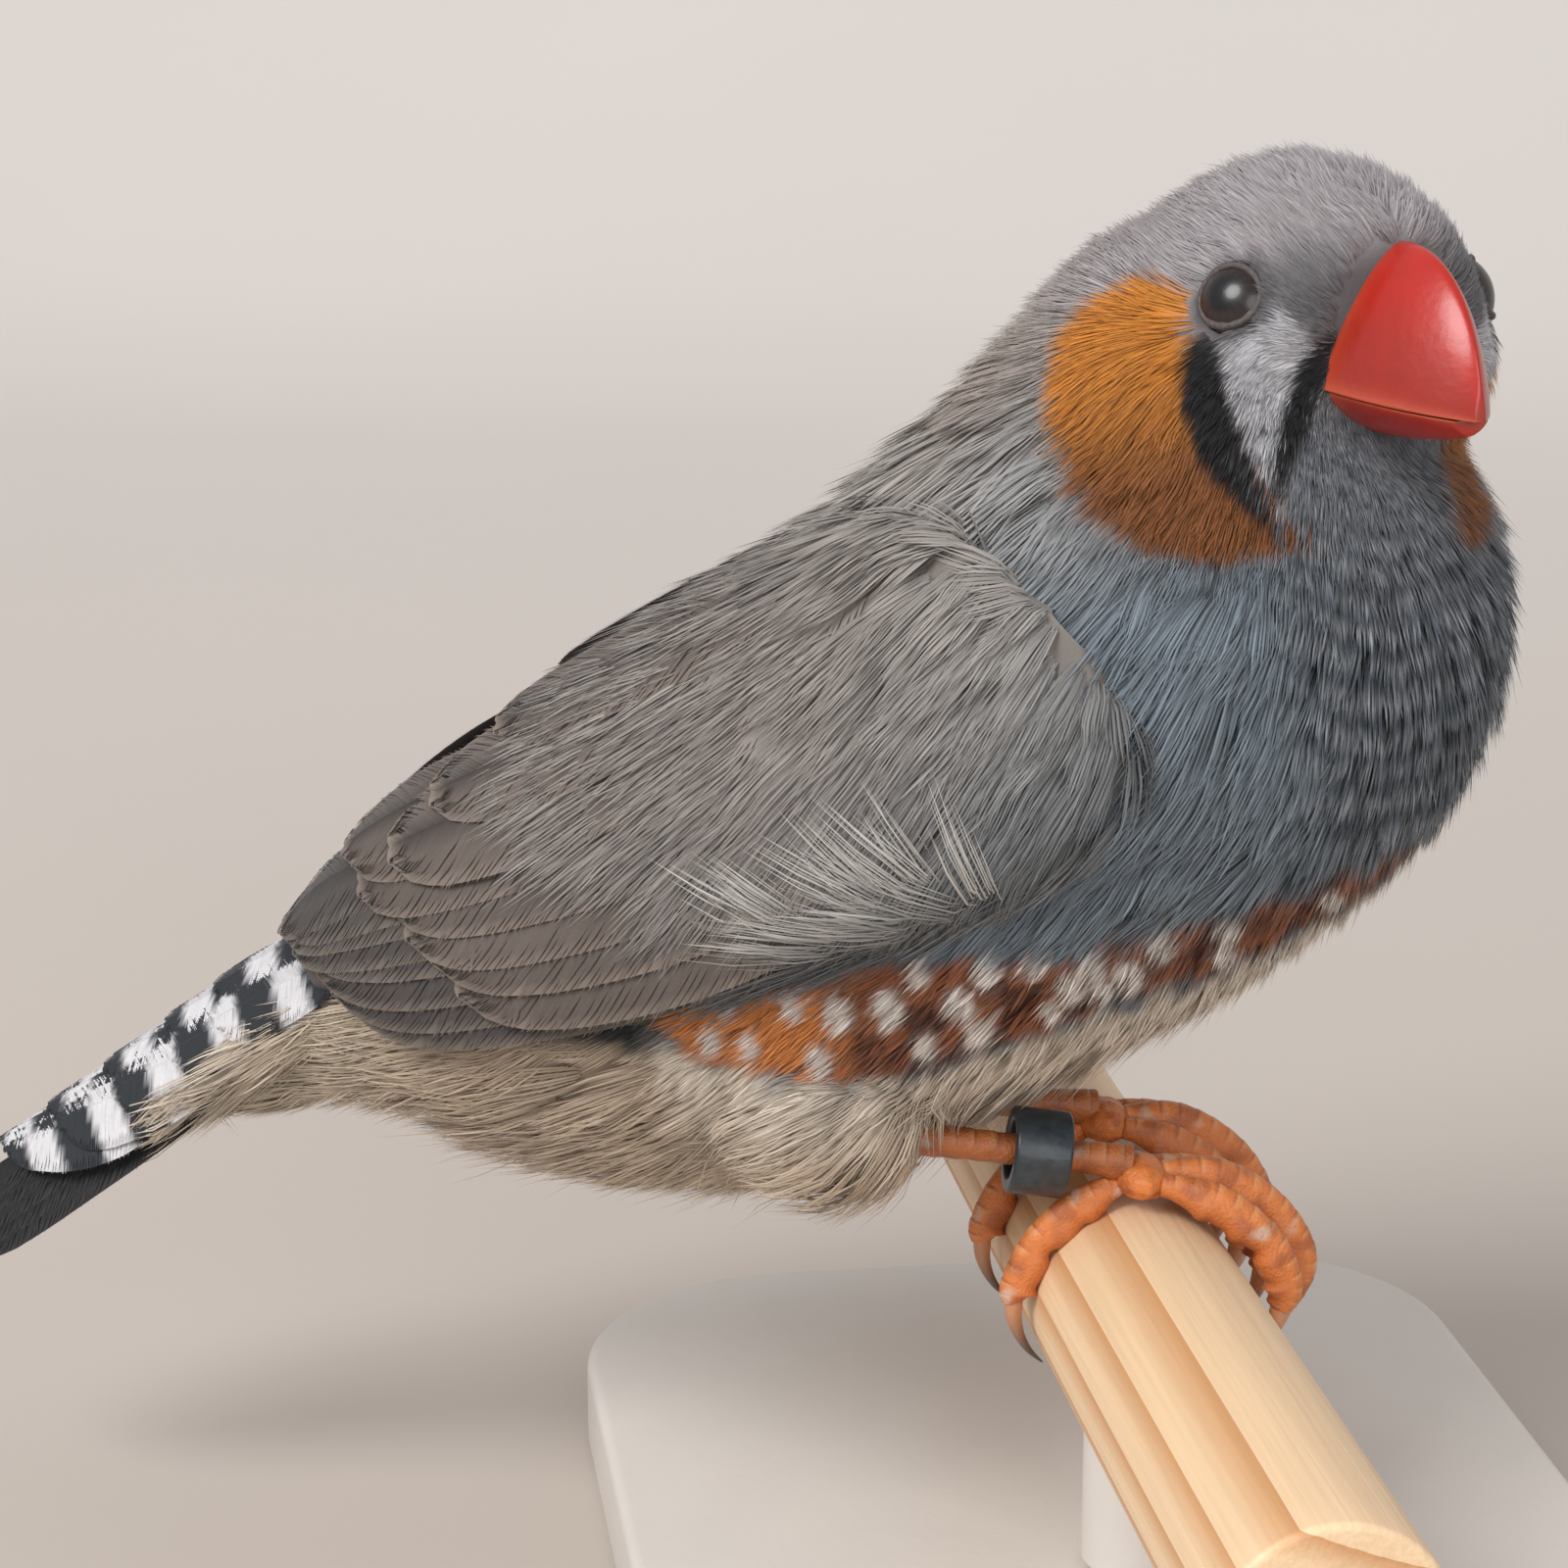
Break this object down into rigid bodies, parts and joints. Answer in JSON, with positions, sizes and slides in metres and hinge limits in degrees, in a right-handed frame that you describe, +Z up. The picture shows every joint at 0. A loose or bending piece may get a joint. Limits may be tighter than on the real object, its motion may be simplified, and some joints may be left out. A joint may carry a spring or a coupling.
{
  "type": "zebra finch figure on a perch",
  "caption": "Life-size still figure of a male zebra finch gripping a short round wooden perch, on a plain flat base with one short rod.",
  "frame": {"origin": "centre of the stand base's underside", "axes": "+X the way the bird's body faces, +Y the bird's left, +Z up"},
  "size_m": [0.0971, 0.0826, 0.0725],
  "materials": {
    "body_feathers": "soft matt feathers, grey back and breast side, chestnut flank with white spots, cream belly",
    "head_feathers": "short plush feathers, grey with an orange cheek and a fine black and grey bars on the throat",
    "wing_feathers": "matt grey-brown vanes with paler edges",
    "tail_feathers": "black vanes with a faint sheen",
    "barred_feathers": "black vanes with broad white bars",
    "pale_feathers": "soft cream feathers",
    "bill": "waxy red-orange horn with soft highlights",
    "eye": "wet dark brown",
    "leg_scales": "orange scales",
    "claw": "pale horn",
    "leg_band": "black, slightly worn",
    "perch_wood": "smooth bare pine with orange-brown grain",
    "stand": "plain pale matt paint"
  },
  "bodies": {
    "root": {"beak_lower": "bill", "beak_upper": "bill", "claw_hind_left": "claw", "claw_hind_right": "claw", "claw_inner_left": "claw", "claw_inner_right": "claw", "claw_middle_left": "claw", "claw_middle_right": "claw", "claw_outer_left": "claw", "claw_outer_right": "claw", "eye_left": "eye", "eye_right": "eye", "foot_left": "leg_scales", "foot_right": "leg_scales", "head": "head_feathers", "leg_band": "leg_band", "neck": "head_feathers", "perch": "perch_wood", "shank_left": "leg_scales", "shank_right": "leg_scales", "stand_base": "stand", "stand_rod": "stand", "tail": "tail_feathers", "toe_hind_left": "leg_scales", "toe_hind_right": "leg_scales", "toe_inner_left": "leg_scales", "toe_inner_right": "leg_scales", "toe_middle_left": "leg_scales", "toe_middle_right": "leg_scales", "toe_outer_left": "leg_scales", "toe_outer_right": "leg_scales", "torso": "body_feathers", "undertail_coverts": "pale_feathers", "uppertail_coverts": "barred_feathers", "wing_left": "wing_feathers", "wing_right": "wing_feathers"}
  },
  "joints": []
}
